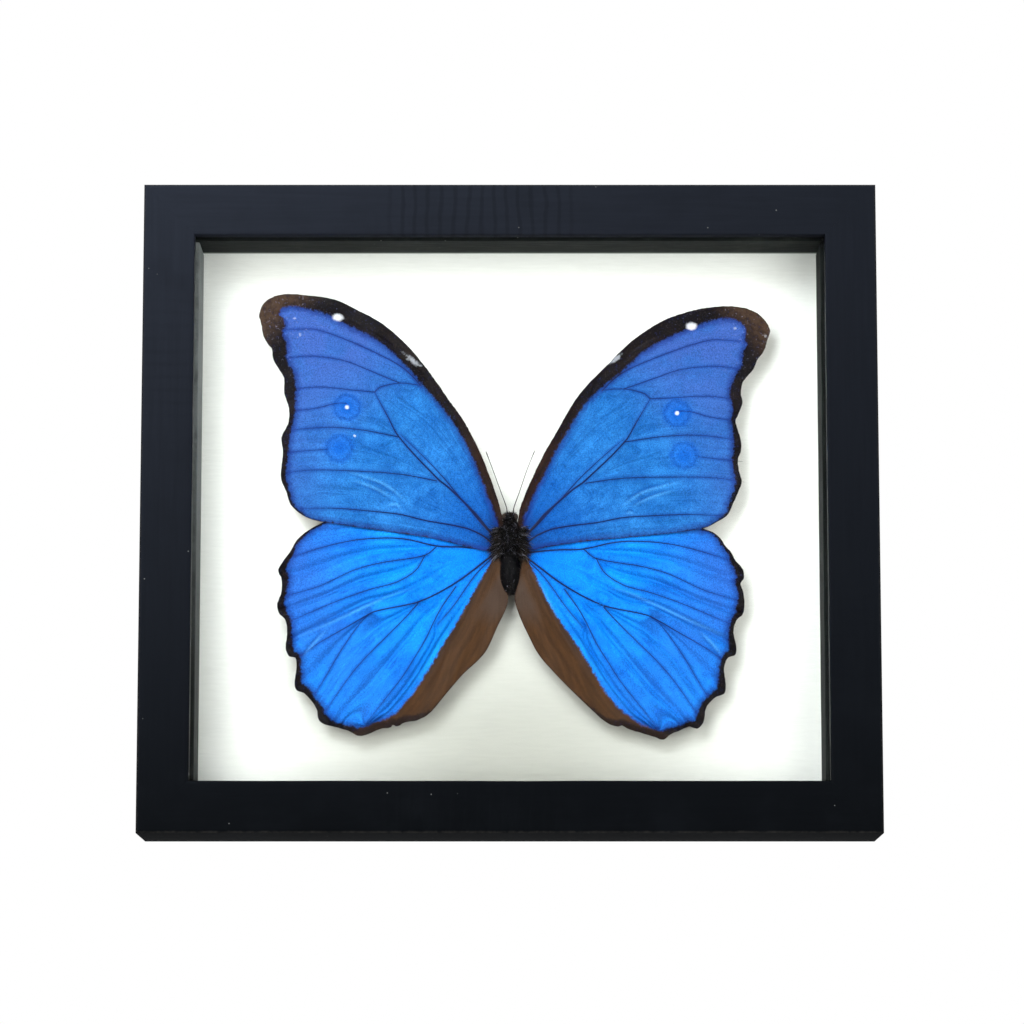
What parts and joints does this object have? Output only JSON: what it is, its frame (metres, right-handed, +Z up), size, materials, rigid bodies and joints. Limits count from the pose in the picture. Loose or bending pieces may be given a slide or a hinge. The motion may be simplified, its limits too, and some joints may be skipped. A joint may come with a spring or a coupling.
{
  "type": "framed butterfly specimen",
  "caption": "Large blue butterfly with spread wings on a white board, behind glass in a black shadow-box frame that hangs on a wall.",
  "frame": {"origin": "the point the frame hangs from, at the middle of the sawtooth hanger, in the plane of the rails' back faces", "axes": "+Z up, +X to the viewer's right, -Y out of the glass towards the viewer, +Y into the wall"},
  "size_m": [0.203, 0.033, 0.181],
  "materials": {
    "black_wood": "satin black paint over fine machining marks",
    "spacer_strip": "grey black paint, rough, satin",
    "clear_glass": "clear picture glass, polished",
    "white_board": "matt white mount board",
    "hardboard": "brown pressed fibre board, matt",
    "plated_steel": "zinc plated, dull",
    "wing_scales": "structural blue scales with a metallic sheen, black borders and brown hind folds",
    "body_hair": "black hair on the thorax, smooth dark abdomen",
    "antenna_horn": "thin grey horn"
  },
  "bodies": {
    "root": {"antenna_left": "antenna_horn", "antenna_right": "antenna_horn", "back_panel": "hardboard", "butterfly_body": "body_hair", "forewing_left": "wing_scales", "forewing_right": "wing_scales", "frame_rail_bottom": "black_wood", "frame_rail_left": "black_wood", "frame_rail_right": "black_wood", "frame_rail_top": "black_wood", "glass_pane": "clear_glass", "hanger_nail_left": "plated_steel", "hanger_nail_right": "plated_steel", "hindwing_left": "wing_scales", "hindwing_right": "wing_scales", "mount_board": "white_board", "panel_point_bottom_1": "plated_steel", "panel_point_bottom_2": "plated_steel", "panel_point_left_1": "plated_steel", "panel_point_left_2": "plated_steel", "panel_point_right_1": "plated_steel", "panel_point_right_2": "plated_steel", "panel_point_top_1": "plated_steel", "panel_point_top_2": "plated_steel", "sawtooth_hanger": "plated_steel", "spacer_bottom": "spacer_strip", "spacer_left": "spacer_strip", "spacer_right": "spacer_strip", "spacer_top": "spacer_strip"}
  },
  "joints": []
}
